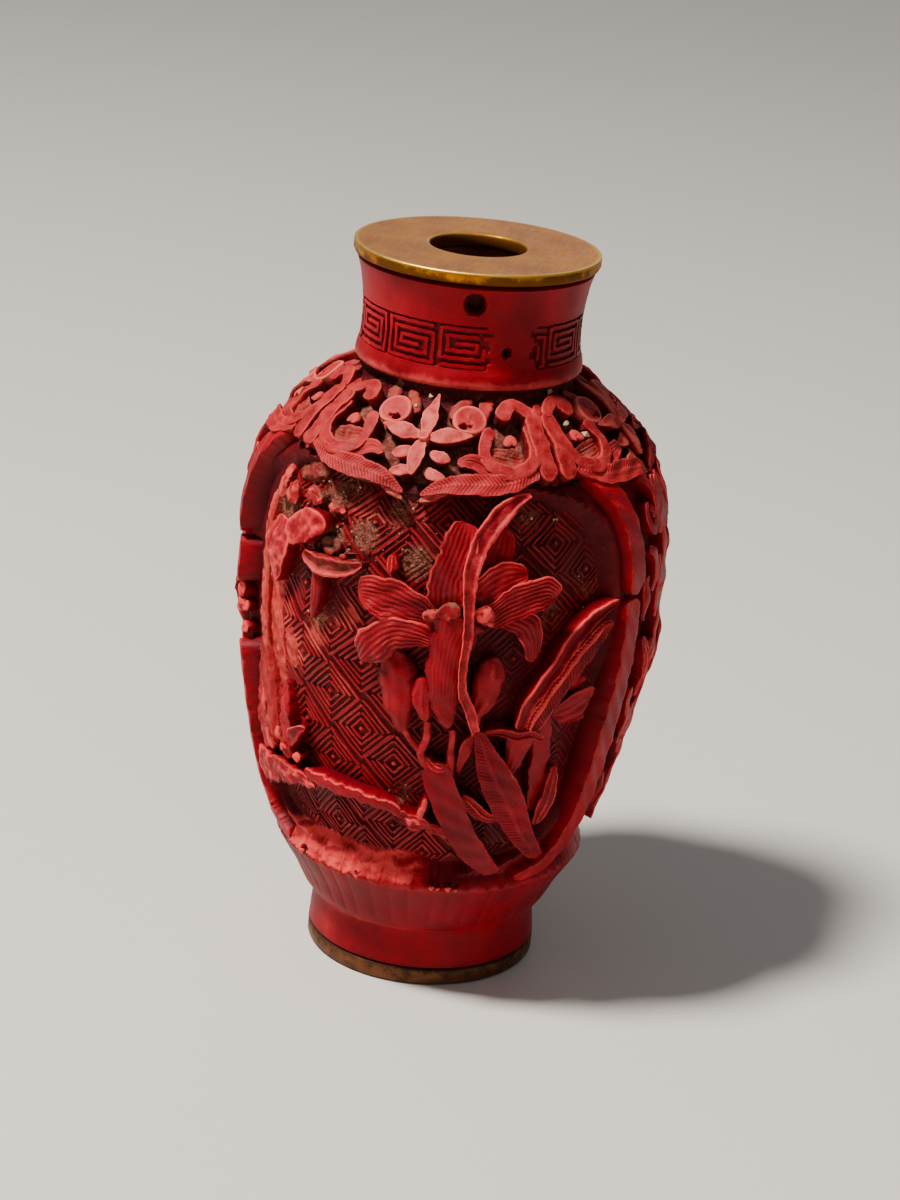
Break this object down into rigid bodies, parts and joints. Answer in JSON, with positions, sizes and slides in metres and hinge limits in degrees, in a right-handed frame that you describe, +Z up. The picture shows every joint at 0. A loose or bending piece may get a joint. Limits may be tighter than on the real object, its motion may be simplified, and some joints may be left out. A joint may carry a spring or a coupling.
{
  "type": "carved lacquer perfume bottle",
  "caption": "Small hollow vase-shaped bottle carved all over with flowers and leaves, with a brass mouth plate and a brass foot ring; its stopper is missing.",
  "frame": {"origin": "centre of the foot ring's underside, where the bottle stands", "axes": "+Z up along the bottle's axis, -Y towards the front panel, +X to the right of someone who faces the front panel"},
  "size_m": [0.0404, 0.0396, 0.07],
  "materials": {
    "red_lacquer": "deep red carved lacquer, soft gloss, worn to coral on its raised edges, dark in its recesses",
    "mouth_brass": "rubbed brass with fine scratches",
    "foot_brass": "dull tarnished brass"
  },
  "bodies": {
    "root": {"lacquer_bottle": "red_lacquer", "brass_mouth_plate": "mouth_brass", "brass_foot_ring": "foot_brass"}
  },
  "joints": []
}
